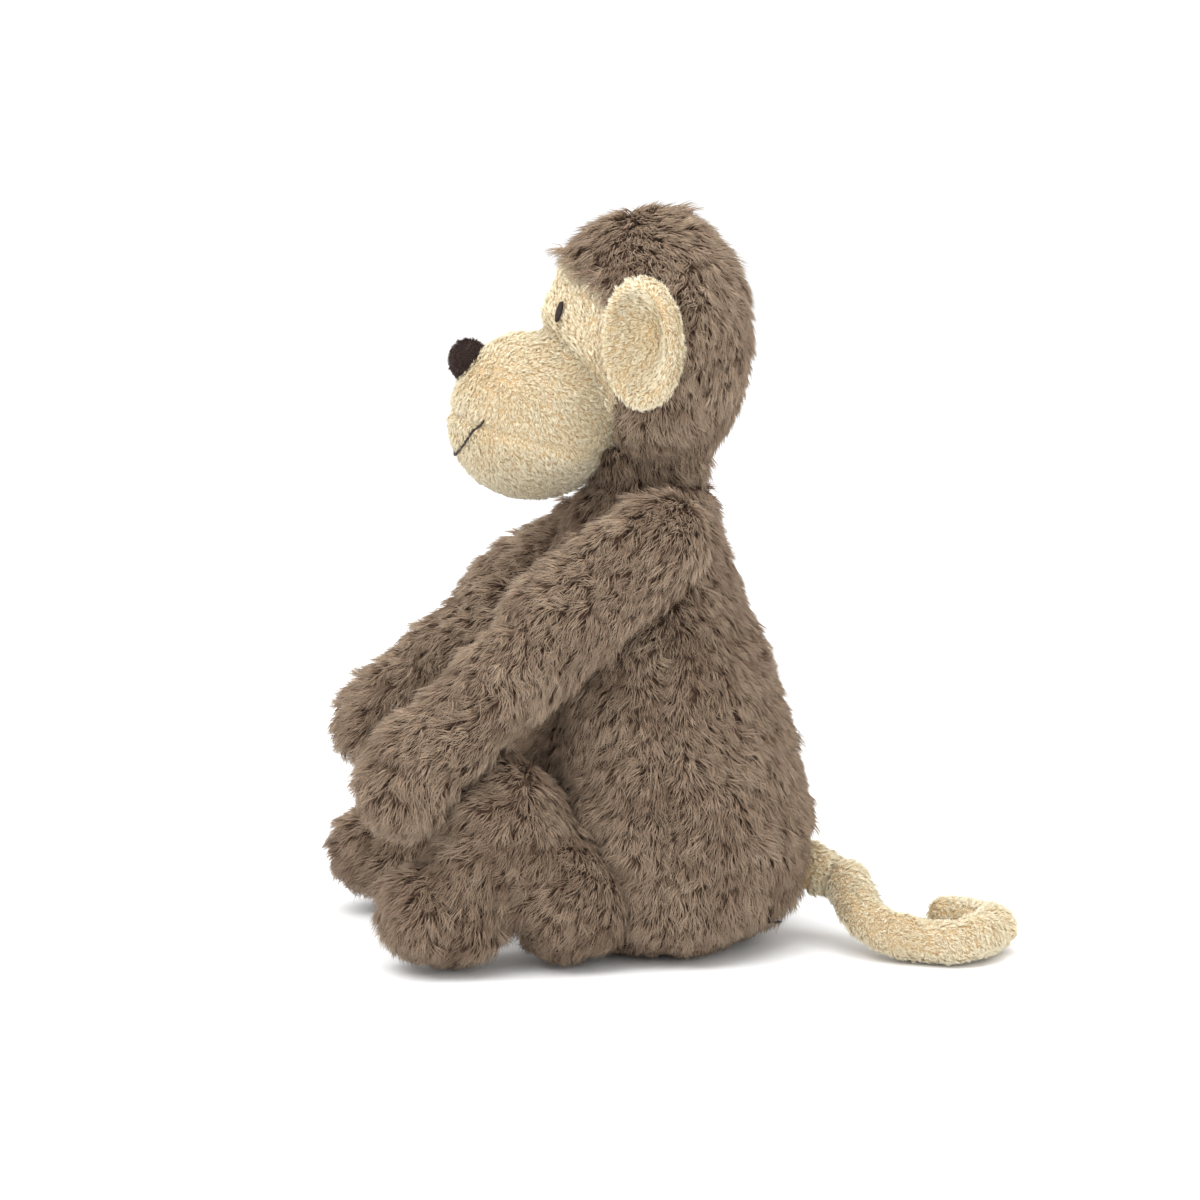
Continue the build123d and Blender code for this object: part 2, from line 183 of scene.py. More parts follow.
def tube(path, radius, sides=8):
    """Closed round tube of points and faces along a path, capped shut at both ends."""
    path = np.asarray(path, float)
    ahead = unit(np.gradient(path, axis=0))
    side = unit(np.cross(ahead, UP + 0.13))
    over = np.cross(side, ahead)
    turn = np.arange(sides) / sides * 2 * np.pi
    radius = np.broadcast_to(radius, len(path)).astype(float)
    rings = [
        path[i] + radius[i] * (np.cos(turn)[:, None] * side[i] + np.sin(turn)[:, None] * over[i])
        for i in range(len(path))
    ]
    points = np.concatenate(rings)
    faces = []
    for i in range(len(path) - 1):
        for k in range(sides):
            a, b = i * sides + k, i * sides + (k + 1) % sides
            faces.append([a, b, b + sides, a + sides])
    faces.append(list(range(sides))[::-1])
    faces.append([len(points) - sides + k for k in range(sides)])
    return points, faces


def joined(shapes):
    points, faces, base = [], [], 0
    for p, f in shapes:
        points.append(p)
        faces += [[v + base for v in face] for face in f]
        base += len(p)
    return np.concatenate(points), faces


# ---------------------------------------------------------------- materials


def link(tree, a, b):
    tree.links.new(a, b)


def ramp(tree, source, stops):
    node = tree.nodes.new("ShaderNodeValToRGB")
    while len(node.color_ramp.elements) < len(stops):
        node.color_ramp.elements.new(0.5)
    for element, (at, colour) in zip(node.color_ramp.elements, stops):
        element.position = at
        element.color = (*colour, 1)
    link(tree, source, node.inputs["Fac"])
    return node.outputs["Color"]


def blank_material(name, roughness, sheen, sheen_tint):
    material = bpy.data.materials.new(name)
    material.use_nodes = True
    shader = material.node_tree.nodes["Principled BSDF"]
    shader.inputs["Roughness"].default_value = roughness
    shader.inputs["Specular IOR Level"].default_value = 0.25
    shader.inputs["Sheen Weight"].default_value = sheen
    shader.inputs["Sheen Roughness"].default_value = 0.5
    shader.inputs["Sheen Tint"].default_value = (*sheen_tint, 1)
    return material, material.node_tree, shader


TONES = 16
CELL = 4 / 256
CELL_HIGH = 14 / 256


def pile_material(name, dark, light, roughness, sheen, sheen_tint):
    """Hair colour from its tone class across the map and its root-to-tip place up it; the darker roots are
    painted shade deep in the pile.
    """
    material, tree, shader = blank_material(name, roughness, sheen, sheen_tint)
    uv = tree.nodes.new("ShaderNodeUVMap")
    uv.uv_map = "OFBake"
    split = tree.nodes.new("ShaderNodeSeparateXYZ")
    link(tree, uv.outputs["UV"], split.inputs[0])
    tone = tree.nodes.new("ShaderNodeMath")
    tone.operation = "DIVIDE"
    tone.inputs[1].default_value = CELL
    link(tree, split.outputs["X"], tone.inputs[0])
    whole = tree.nodes.new("ShaderNodeMath")
    whole.operation = "FLOOR"
    link(tree, tone.outputs[0], whole.inputs[0])
    share = tree.nodes.new("ShaderNodeMath")
    share.operation = "DIVIDE"
    share.inputs[1].default_value = TONES - 1
    link(tree, whole.outputs[0], share.inputs[0])
    along = tree.nodes.new("ShaderNodeMath")
    along.operation = "DIVIDE"
    along.inputs[1].default_value = CELL_HIGH
    link(tree, split.outputs["Y"], along.inputs[0])
    mix = tree.nodes.new("ShaderNodeMix")
    mix.data_type = "RGBA"
    link(tree, share.outputs[0], mix.inputs["Factor"])
    link(tree, ramp(tree, along.outputs[0], dark), mix.inputs["A"])
    link(tree, ramp(tree, along.outputs[0], light), mix.inputs["B"])
    link(tree, mix.outputs["Result"], shader.inputs["Base Color"])
    return material


def cloth_material(name, low, high, scale, roughness, sheen, bump=0.3):
    """Knitted backing or short nap: fine mottling and a weave-sized bump."""
    material, tree, shader = blank_material(name, roughness, sheen, high)
    where = tree.nodes.new("ShaderNodeTexCoord")
    fine = tree.nodes.new("ShaderNodeTexNoise")
    fine.inputs["Scale"].default_value = scale
    fine.inputs["Detail"].default_value = 4
    link(tree, where.outputs["Object"], fine.inputs["Vector"])
    link(tree, ramp(tree, fine.outputs["Fac"], [(0.3, low), (0.7, high)]), shader.inputs["Base Color"])
    lift = tree.nodes.new("ShaderNodeBump")
    lift.inputs["Strength"].default_value = bump
    lift.inputs["Distance"].default_value = 0.0004
    link(tree, fine.outputs["Fac"], lift.inputs["Height"])
    link(tree, lift.outputs["Normal"], shader.inputs["Normal"])
    return material


# Root-to-tip ramps for the dark and light tone classes; each darkens towards the root, which is painted shade
# deep in the pile.
BROWN_DARK = [(0.0, (0.070, 0.036, 0.022)), (0.45, (0.19, 0.120, 0.078)), (1.0, (0.30, 0.212, 0.145))]
BROWN_LIGHT = [(0.0, (0.150, 0.090, 0.056)), (0.45, (0.40, 0.292, 0.202)), (1.0, (0.60, 0.475, 0.350))]
CREAM_DARK = [(0.0, (0.60, 0.43, 0.22)), (0.5, (0.82, 0.69, 0.45)), (1.0, (0.90, 0.81, 0.60))]
CREAM_LIGHT = [(0.0, (0.76, 0.62, 0.38)), (0.5, (0.93, 0.86, 0.67)), (1.0, (0.96, 0.91, 0.75))]
NOSE_DARK = [(0.0, (0.012, 0.005, 0.004)), (0.5, (0.020, 0.009, 0.007)), (1.0, (0.030, 0.014, 0.011))]
NOSE_LIGHT = [(0.0, (0.020, 0.009, 0.007)), (0.5, (0.040, 0.020, 0.015)), (1.0, (0.070, 0.038, 0.030))]

MAT = {
    "brown_pile": pile_material("brown_pile", BROWN_DARK, BROWN_LIGHT, 0.72, 0.12, (0.7, 0.6, 0.5)),
    "cream_pile": pile_material("cream_pile", CREAM_DARK, CREAM_LIGHT, 0.75, 0.12, (1.0, 0.93, 0.8)),
    "nose_pile": pile_material("nose_pile", NOSE_DARK, NOSE_LIGHT, 0.6, 0.25, (0.5, 0.35, 0.3)),
    "brown_back": cloth_material("brown_back", (0.055, 0.028, 0.018), (0.115, 0.068, 0.044), 900, 0.9, 0.1),
    "cream_back": cloth_material("cream_back", (0.48, 0.33, 0.17), (0.66, 0.50, 0.30), 900, 0.9, 0.1),
    "nose_back": cloth_material("nose_back", (0.010, 0.004, 0.003), (0.028, 0.013, 0.010), 1500, 0.7, 0.3),
    "thread": cloth_material("thread", (0.010, 0.006, 0.005), (0.040, 0.026, 0.020), 2500, 0.45, 0.2, 0.5),
    "label": cloth_material("label", (0.80, 0.79, 0.76), (0.92, 0.91, 0.88), 3000, 0.5, 0.3, 0.5),
}
COAT = {
    "brown": {"mat": "brown_pile", "back": "brown_back", "slot": "brown_plush", "length": 6.2, "width": 0.31,
              "density": 3.2, "lift": 0.47, "clump": 2.3, "gather": 0.30, "swirl": 0.42},
    "cream": {"mat": "cream_pile", "back": "cream_back", "slot": "cream_plush", "length": 1.8, "width": 0.22,
              "density": 7.0, "lift": 0.55, "clump": 1.1, "gather": 0.2, "swirl": 0.5},
    "nose": {"mat": "nose_pile", "back": "nose_back", "slot": "nose_velvet", "length": 0.9, "width": 0.16,
             "density": 9.0, "lift": 0.8, "clump": 0.8, "gather": 0.2, "swirl": 0.9},
}


# ---------------------------------------------------------------- pile


def scatter(obj, density, rng):
    """Random points on a mesh, with the smooth normals there."""
    mesh = obj.data
    mesh.calc_loop_triangles()
    tri = np.zeros(len(mesh.loop_triangles) * 3, np.int32)
    mesh.loop_triangles.foreach_get("vertices", tri)
    tri = tri.reshape(-1, 3)
    points, normals = points_of(obj), normals_of(obj)
    a, b, c = points[tri[:, 0]], points[tri[:, 1]], points[tri[:, 2]]
    area = np.linalg.norm(np.cross(b - a, c - a), axis=1) / 2
    count = int(area.sum() * density * (1.0))
    pick = rng.choice(len(tri), count, p=area / area.sum())
    u, v = rng.random(count), rng.random(count)
    flip = u + v > 1
    u[flip], v[flip] = 1 - u[flip], 1 - v[flip]
    w = np.stack([1 - u - v, u, v], 1)[:, :, None]
    t = tri[pick]
    return (points[t] * w).sum(1), unit((normals[t] * w).sum(1))


def clump_of(roots, spacing, rng):
    """Index of each root's clump and the clump centres' indices."""
    count = max(1, int(len(roots) / max(1, spacing)))
    chosen = rng.choice(len(roots), count, replace=False)
    tree = KDTree(count)
    for i, r in enumerate(chosen):
        tree.insert(roots[r], i)
    tree.balance()
    nearest = np.array([tree.find(r)[1] for r in roots])
    return nearest, chosen


def hair_object(name, base, mid, tip, width, tone, rng):
    """Closed three-sided tapering hairs, two segments each, as one mesh with its map."""
    n = len(base)
    ahead = unit(tip - base)
    side = unit(np.cross(ahead, rng.normal(size=(n, 3))))
    over = np.cross(side, ahead)
    points = np.zeros((n, 7, 3))
    for k in range(3):
        turn = 2 * np.pi * k / 3
        off = np.cos(turn) * side + np.sin(turn) * over
        points[:, k] = base + off * width[:, None] * 0.5
        points[:, 3 + k] = mid + off * width[:, None] * 0.42
    points[:, 6] = tip
    points[:, :, 2] = np.maximum(points[:, :, 2], 0.25)
    quads = np.array([[0, 1, 4, 3], [1, 2, 5, 4], [2, 0, 3, 5]])
    tips = np.array([[3, 4, 6], [4, 5, 6], [5, 3, 6], [2, 1, 0]])
    first = (np.arange(n) * 7)[:, None, None]
    loops = np.concatenate([(first + quads).reshape(n, 12), (first + tips).reshape(n, 12)], 1)
    left = (tone * CELL + CELL * 0.2)[:, None]
    right = (tone * CELL + CELL * 0.8)[:, None]
    centre = (left + right) / 2
    low, half, top = 0.06 * CELL_HIGH, 0.5 * CELL_HIGH, 0.97 * CELL_HIGH
    flat = np.zeros((n, 1))
    quad_u = np.concatenate([left, right, right, left], 1)
    quad_v = np.concatenate([flat + low, flat + low, flat + half, flat + half], 1)
    tip_u = np.concatenate([left, right, centre], 1)
    tip_v = np.concatenate([flat + half, flat + half, flat + top], 1)
    foot_v = np.concatenate([flat + low, flat + low, flat + low * 2], 1)
    u = np.concatenate([quad_u] * 3 + [tip_u] * 4, 1)
    v = np.concatenate([quad_v] * 3 + [tip_v] * 3 + [foot_v], 1)
    mesh = bpy.data.meshes.new(name)
    mesh.vertices.add(n * 7)
    mesh.vertices.foreach_set("co", (points * MM).astype(np.float32).ravel())
    mesh.loops.add(n * 24)
    mesh.loops.foreach_set("vertex_index", loops.astype(np.int32).ravel())
    mesh.polygons.add(n * 7)
    sizes = np.tile([4, 4, 4, 3, 3, 3, 3], n)
    mesh.polygons.foreach_set("loop_start", np.concatenate([[0], np.cumsum(sizes)[:-1]]).astype(np.int32))
    mesh.polygons.foreach_set("loop_total", sizes.astype(np.int32))
    mesh.update(calc_edges=True)
    layer = mesh.uv_layers.new(name="OFBake")
    layer.data.foreach_set("uv", np.stack([u, v], 2).astype(np.float32).ravel())
    mesh.polygons.foreach_set("use_smooth", np.ones(n * 7, bool))
    obj = bpy.data.objects.new(name, mesh)
    bpy.context.scene.collection.objects.link(obj)
    return obj


HAIRS_IN_ONE = 19000


def grow_pile(skin, body, coat, comb, seed, length=None, keep=None, stem=None, shade=None):
    """Pile on a skin: clumped hairs lying along comb(points), riding with the body."""
    coat = COAT[coat]
    rng = np.random.default_rng(seed)
    roots, normals = scatter(skin, coat["density"], rng)
    if keep is not None:
        kept = keep(roots)
        roots, normals = roots[kept], normals[kept]
    if len(roots) < 10:
        return []
    n = len(roots)
    per_clump = coat["density"] * 1.0 * coat["clump"] ** 2
    clump, centres = clump_of(roots, per_clump, rng)
    m = len(centres)
    lay = comb(roots)
    swirl = noise(roots, 34, seed + 1, 2)[:, None] * coat["swirl"]
    lay = lay - (lay * normals).sum(1)[:, None] * normals
    lay = unit(lay)
    across = np.cross(normals, lay)
    fan = (rng.normal(size=m) * 0.36)[clump] + rng.normal(size=n) * 0.24
    angle = swirl[:, 0] * 1.1 + fan
    lay = np.cos(angle)[:, None] * lay + np.sin(angle)[:, None] * across
    long = coat["length"] * (1 + 0.16 * rng.normal(size=m)[clump] + 0.08 * rng.normal(size=n))
    if length is not None:
        long = long * length(roots)
    long = np.clip(long, 0.3 * coat["length"], 1.45 * coat["length"])
    lift = coat["lift"] * np.clip(1 + 0.28 * rng.normal(size=m)[clump] + 0.1 * rng.normal(size=n), 0.35, 1.5)
    base = roots - normals * 0.25
    mid = roots + (normals * (0.62 * lift)[:, None] + lay * 0.28) * long[:, None]
    tip = roots + (normals * lift[:, None] + lay * 0.80) * long[:, None]
    off = roots - roots[centres][clump]
    away = np.linalg.norm(off, axis=1)
    gather = coat["gather"]
    mid = mid - off * gather * 0.35
    tip = tip - off * gather + rng.normal(size=(n, 3)) * 0.25 * min(1.0, coat["length"] / 6)
    # edge grows towards a clump's rim; the tone drop by edge below is painted shade in the valleys between
    # clumps.
    edge = np.clip(away / (coat["clump"] * 0.75), 0, 1)
    tone = 0.58 + 0.10 * rng.normal(size=m)[clump] + 0.09 * rng.normal(size=n)
    tone = tone - 0.13 * edge**2 + 0.16 * noise(roots, 26, seed + 2)
    if shade is not None:
        tone = tone + shade(roots)
    tone = np.clip((tone * TONES).astype(int), 0, TONES - 1)
    width = coat["width"] * (1 + 0.15 * rng.normal(size=n)).clip(0.6, 1.5) * 1.0
    stem = stem or skin.name.replace("_skin", "")
    made = []
    order = np.argsort(noise(roots, 400, 3, 1)) if n > HAIRS_IN_ONE else np.arange(n)
    for i, chunk in enumerate(np.array_split(order, math.ceil(n / HAIRS_IN_ONE))):
        obj = hair_object(
            f"{stem}_pile_{i + 1}", base[chunk], mid[chunk], tip[chunk], width[chunk], tone[chunk], rng
        )
        obj.data.materials.append(MAT[coat["mat"]])
        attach(obj, body)
        made.append(obj)
    return made


def dress(skin, body, coat, nodes):
    """Base cloth of a panel: material, body, the CAD nodes it stands for."""
    skin.data.materials.clear()
    skin.data.materials.append(MAT[COAT[coat]["back"]])
    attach(skin, body)
    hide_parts(*nodes)


def groove(points, normals, along, depth, width):
    """Pull the skin in along a sewn line, where along is each point's distance from it."""
    return points - normals * (depth * np.exp(-((along / width) ** 2)))[:, None]


# ---------------------------------------------------------------- torso

torso_nodes = ["torso_front_panel", "torso_back_left_panel", "torso_back_right_panel", "torso_base_panel"]
torso_low, torso_high = corners(*torso_nodes)
shoulder = JOINT["shoulder_left"]
hip = JOINT["hip_left"]
tail_root = JOINT["tail_swing"]
neck = JOINT["neck_turn"]
torso_mid_y = (torso_low[1] + torso_high[1]) / 2
seam_y = corners("torso_front_panel")[1][1]
base_z = corners("torso_base_panel")[1][2]

torso = skin_from(torso_nodes + ["torso_stuffing"], 2.6, 6)
torso = puffed(torso, 3.0, 1.0)
p, nrm = points_of(torso), normals_of(torso)
p = p - nrm * 2.2
p = p + nrm * (noise(p, 42, 11, 2) * 1.1)[:, None]
chest = np.array([0, neck[1] - 21, neck[2] - 22])
full = np.exp(-(((p - chest) / [26, 15, 15]) ** 2).sum(1)) * step(-nrm[:, 1], -0.3, 0.4)
p = p + np.array([0, -6.0, 3.2]) * full[:, None]
belly = np.array([0, p[np.abs(p[:, 2] - hip[2] - 30) < 4][:, 1].min(), hip[2] + 30])
full = np.exp(-(((p - belly) / [17, 14, 15]) ** 2).sum(1))
p = p + np.array([0, -7.0, 0]) * full[:, None]
p = groove(p, nrm, p[:, 1] - seam_y, 1.4, 2.2)
p = groove(p, nrm, np.where(p[:, 1] > seam_y, p[:, 0], 99), 0.9, 2.0)
p[:, 2] = np.maximum(p[:, 2], 0.3)
move_points(torso, p)


def down_comb(q):
    return np.tile([0.0, 0.12, -1.0], (len(q), 1))


def torso_comb(q):
    back = step(q[:, 1], 0, 30)
    return np.stack([-0.15 * np.sign(q[:, 0]) * back, 0.25 * back - 0.15, -np.ones(len(q))], 1)


def outside_limbs(q):
    """True where the torso isn't inside a limb root, the neck or the tail."""
    both = np.abs(q) * [1, 0, 0] + q * [0, 1, 1]
    clear = np.linalg.norm(both - shoulder, axis=1) > 15.0
    clear &= np.linalg.norm(both - hip, axis=1) > 18.5
    clear &= np.linalg.norm(q - tail_root, axis=1) > 6.5
    clear &= np.linalg.norm(q - neck, axis=1) > 13.5
    return clear


def seat_length(q):
    under = step(q[:, 2], 2.0, 14.0)
    seam = 1 - 0.35 * np.exp(-(((q[:, 1] - seam_y) / 2.5) ** 2))
    return (0.45 + 0.55 * under) * seam


panels = {
    "torso_front": (lambda c: (c[:, 1] <= seam_y) & (c[:, 2] > base_z), ["torso_front_panel"]),
    "torso_back_left": (
        lambda c: (c[:, 1] > seam_y) & (c[:, 0] >= 0) & (c[:, 2] > base_z), ["torso_back_left_panel"]
    ),
    "torso_back_right": (
        lambda c: (c[:, 1] > seam_y) & (c[:, 0] < 0) & (c[:, 2] > base_z), ["torso_back_right_panel"]
    ),
    "torso_base": (
        lambda c: c[:, 2] <= base_z,
        ["torso_base_panel", "torso_stuffing", "seat_bean_bag", "seat_bean_fill"],
    ),
}
for i, (stem, (keep, nodes)) in enumerate(panels.items()):
    panel = part_of(torso, stem + "_skin", keep)
    dress(panel, "torso", "brown", nodes)
    grow_pile(panel, "torso", "brown", torso_comb, 100 + i, seat_length, outside_limbs,
              shade=lambda q: np.full(len(q), -0.12))
bpy.data.objects.remove(torso)

# ---------------------------------------------------------------- neck

neck_skin = skin_from(["neck_sleeve", "neck_stuffing"], 1.6, 4)
neck_skin.name = "neck_skin"
p, nrm = points_of(neck_skin), normals_of(neck_skin)
ahead = step(-nrm[:, 1], 0.0, 0.7)
move_points(neck_skin, p - nrm * 0.6 + np.array([0, -5.0, 0]) * ahead[:, None])
dress(neck_skin, "neck", "brown", ["neck_sleeve", "neck_stuffing"])
grow_pile(
    neck_skin, "neck", "brown", down_comb, 150,
    length=lambda q: np.full(len(q), 1.1),
)

# ---------------------------------------------------------------- head

HEAD_HEIGHT_TO_DEPTH = 39.5 / 28.5
CROWN_HALF = 11
MUZZLE_EDGE = 1.04
NECK_CLEAR = 13.5
EAR_SEAM_CLEAR = 2.5
EYE_INWARD = 2.5

head_nodes = ["crown_gusset", "head_left_panel", "head_right_panel", "face_panel", "head_stuffing"]
muzzle_nodes = ["muzzle_upper_panel", "muzzle_chin_panel", "muzzle_stuffing"]
head_low, head_high = corners(*head_nodes)
muzzle_low, muzzle_high = corners("muzzle_upper_panel", "muzzle_chin_panel")
muzzle_radius = (muzzle_high[2] - muzzle_low[2]) / 2
muzzle_side = muzzle_high[0]
muzzle_centre = np.array([0, muzzle_low[1] + muzzle_radius, (muzzle_low[2] + muzzle_high[2]) / 2])
head_half = np.array([head_high[0], (head_high[1] - head_low[1]) / 2, 0])
head_centre = np.array([0, (head_low[1] + head_high[1]) / 2, 0])
head_half[2] = head_half[1] * HEAD_HEIGHT_TO_DEPTH
head_centre[2] = head_high[2] - head_half[2]
ear = JOINT["ear_fold_left"]

head = skin_from(head_nodes + muzzle_nodes, 1.9, 7)
head = puffed(head, 3.0, 0.8)
p, nrm = points_of(head), normals_of(head)
bridge = np.array([0, muzzle_centre[1] + 8, muzzle_high[2] + 6])
near = np.exp(-(((p - bridge) * [0.75, 1, 0.9]) ** 2).sum(1) / 15.0**2)
p = p + np.array([0, -6.6, 1.2]) * near[:, None]
brow = np.array([0, head_low[1] + 7, head_high[2] - 7])
p = p + np.array([0, -4.5, 0.6]) * np.exp(-(((p - brow) / [22, 16, 14]) ** 2).sum(1))[:, None]


def face_edge(q):
    """How far a point lies in front of the line where the cream face meets the brown head."""
    top = step(q[:, 2], head_centre[2] + 9, head_centre[2] + 29)
    edge = -9.0 - 13.5 * top + 3.0 * step(-q[:, 2], -(head_centre[2] - 20), -(head_centre[2] - 38))
    return edge - q[:, 1]


def on_muzzle(q):
    """Above 1 outside the muzzle ball, below 1 inside it."""
    scale = np.array([muzzle_side, muzzle_radius, muzzle_radius]) + 1.5
    return np.linalg.norm((q - muzzle_centre) / scale, axis=1)


def chin_line(q):
    return (q[:, 2] - muzzle_centre[2] + 4) + 0.27 * (q[:, 1] - muzzle_centre[1])


cream = face_edge(p) > 0
inset = np.where(cream, 0.9, 2.3)
p = p - nrm * inset[:, None]
p = groove(p, nrm, np.where(cream & (on_muzzle(p) < 1.1), chin_line(p), 99), 0.9, 1.3)
p = groove(p, nrm, np.where(face_edge(p) > -6, (on_muzzle(p) - MUZZLE_EDGE) * muzzle_radius, 99), 2.0, 2.0)
p = groove(p, nrm, face_edge(p), 0.8, 1.8)
p = p + nrm * (noise(p, 30, 12, 2) * 0.5)[:, None]
move_points(head, p)


def muzzle_comb(q):
    out = unit(q - (muzzle_centre + [0, -40, 22]))
    return out + [0, 0.0, -0.35]


def face_comb(q):
    outward = 0.5 * np.sign(q[:, 0]) * step(np.abs(q[:, 0]), 2, 12)
    return np.stack([outward, np.zeros(len(q)), np.ones(len(q))], 1)


def head_comb(q):
    crown = head_centre + [0, -8, 46]
    out = q - crown
    fringe = step(face_edge(q), -12, -2) * step(q[:, 2], head_centre[2] + 10, head_centre[2] + 26)
    return unit(out) + fringe[:, None] * np.array([0, -1.6, 0.5])


def head_length(q):
    fringe = step(face_edge(q), -10, -1) * step(q[:, 2], head_centre[2] + 8, head_centre[2] + 24)
    cheek = step(face_edge(q), -6, -1) * (1 - step(q[:, 2], head_centre[2] - 10, head_centre[2] + 8))
    return 0.92 + 0.35 * fringe - 0.3 * cheek


def muzzle_length(q):
    seam = np.exp(-((chin_line(q) / 1.5) ** 2)) * (on_muzzle(q) < 1.1)
    return 1.0 - 0.4 * seam


def clear_of_neck(q):
    both = np.abs(q) * [1, 0, 0] + q * [0, 1, 1]
    off_neck = np.linalg.norm(q - neck, axis=1) > NECK_CLEAR
    return off_neck & (np.linalg.norm((both - ear) * [1, 1, 0.35], axis=1) > EAR_SEAM_CLEAR)


muzzle_zone = lambda c: (face_edge(c) > 0) & (on_muzzle(c) < MUZZLE_EDGE)
head_parts = {
    "muzzle_upper": (lambda c: muzzle_zone(c) & (chin_line(c) > 0), "cream", muzzle_comb, muzzle_length,
                     ["muzzle_upper_panel", "muzzle_stuffing"]),
    "muzzle_chin": (lambda c: muzzle_zone(c) & (chin_line(c) <= 0), "cream", muzzle_comb, muzzle_length,
                    ["muzzle_chin_panel"]),
    "face": (lambda c: (face_edge(c) > 0) & (on_muzzle(c) >= MUZZLE_EDGE), "cream", face_comb, None,
             ["face_panel"]),
    "crown": (lambda c: (face_edge(c) <= 0) & (np.abs(c[:, 0]) < CROWN_HALF), "brown", head_comb, head_length,
              ["crown_gusset", "head_stuffing"]),
    "head_left": (lambda c: (face_edge(c) <= 0) & (c[:, 0] >= CROWN_HALF), "brown", head_comb, head_length,
                  ["head_left_panel"]),
    "head_right": (lambda c: (face_edge(c) <= 0) & (c[:, 0] <= -CROWN_HALF), "brown", head_comb, head_length,
                   ["head_right_panel"]),
}
for i, (stem, (keep, coat, comb, length, nodes)) in enumerate(head_parts.items()):
    panel = part_of(head, stem + "_skin", keep)
    dress(panel, "head", coat, nodes)
    grow_pile(panel, "head", coat, comb, 200 + i, length, clear_of_neck)


def head_front(x, z):
    """Y of the head and muzzle skin, seen from the front."""
    hit, place, normal, _ = head.ray_cast(Vector((x, -200, z)) * MM, Vector((0, 1, 0)))
    return np.array(place) / MM, np.array(normal)


# nose: flocked velvet dome
nose_low, nose_high = corners("nose")
nose_mid = (nose_low + nose_high) / 2
nose_half = (nose_high - nose_low) / 2
rows, cols = 20, 32
points, faces = [], []
for i in range(rows + 1):
    lat = math.pi * i / rows
    for k in range(cols):
        lon = 2 * math.pi * k / cols
        x, y, z = math.sin(lat) * math.cos(lon), math.sin(lat) * math.sin(lon), math.cos(lat)
        wide = 1.0 + 0.12 * z
        points.append(nose_mid + nose_half * [x * wide, y, z * (0.95 if z > 0 else 1.02)])
for i in range(rows):
    for k in range(cols):
        a, b = i * cols + k, i * cols + (k + 1) % cols
        faces.append([a, a + cols, b + cols, b])
nose = mesh_object("nose_form", np.array(points) + [0, 1.8, 0], faces)
nose = evaluated(nose, "nose_skin")
dress(nose, "head", "nose", ["nose"])
grow_pile(nose, "head", "nose", lambda q: np.tile([0.0, -0.3, -1.0], (len(q), 1)), 230)

# mouth: two-ply back stitches pulled into the pile
mouth_low, mouth_high = corners("mouth_stitch")
mouth_half = mouth_high[0] - 0.6
line = []
for t in np.linspace(-1, 1, 91):
    rise = (mouth_high[2] - mouth_low[2] - 1.6) * t * t
    place, normal = head_front(mouth_half * t, mouth_low[2] + 0.8 + rise)
    line.append(place - np.array([0, 0.9, 0]) + normal * 0.2)
line = np.array(line)
stitches = []
for s in range(15):
    run = line[s * 6 : s * 6 + 8]
    run = run + np.array([0, -0.35, 0]) * np.sin(np.linspace(0, np.pi, len(run)))[:, None]
    turn = np.linspace(0, 2.2 * np.pi, len(run))
    for ply in (0, np.pi):
        wind = np.stack([np.zeros(len(run)), np.cos(turn + ply), np.sin(turn + ply)], 1) * 0.18
        thin = 0.29 * np.sin(np.linspace(0.25, np.pi - 0.25, len(run))) ** 0.5
        stitches.append(tube(run + wind, thin))
mouth = mesh_object("mouth_thread", *joined(stitches))
mouth.data.materials.append(MAT["thread"])
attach(mouth, "head")
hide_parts("mouth_stitch")

# eyes: satin stitch, threads laid side by side over an oval
for side, node in ((1, "eye_left"), (-1, "eye_right")):
    low, high = corners(node)
    mid = (low + high) / 2
    tall = (high[2] - low[2]) / 2 - 0.5
    threads = []
    for z in np.linspace(-tall, tall, 15):
        half = 1.0 * math.sqrt(max(0.02, 1 - (z / (tall + 0.2)) ** 2))
        run = []
        for t in np.linspace(-1, 1, 9):
            across = mid[0] - EYE_INWARD * side + half * t + 0.15 * z * side
            place, normal = head_front(across, mid[2] + z + 0.25 * t)
            run.append(place + normal * (1.3 + 0.7 * math.sqrt(max(0.0, 1 - t * t))))
        threads.append(tube(run, 0.31))
    eye = mesh_object(node + "_thread", *joined(threads))
    eye.data.materials.append(MAT["thread"])
    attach(eye, "head")
    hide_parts(node)
bpy.data.objects.remove(head)

# ---------------------------------------------------------------- ears

EAR_TURN = 42
EAR_REACH = 11.9
EAR_HALF_WIDE = 14.5
EAR_HALF_TALL = 19.5
EAR_DISH = 3.2
EAR_SINK = 1.2
EAR_DROP = 1.8

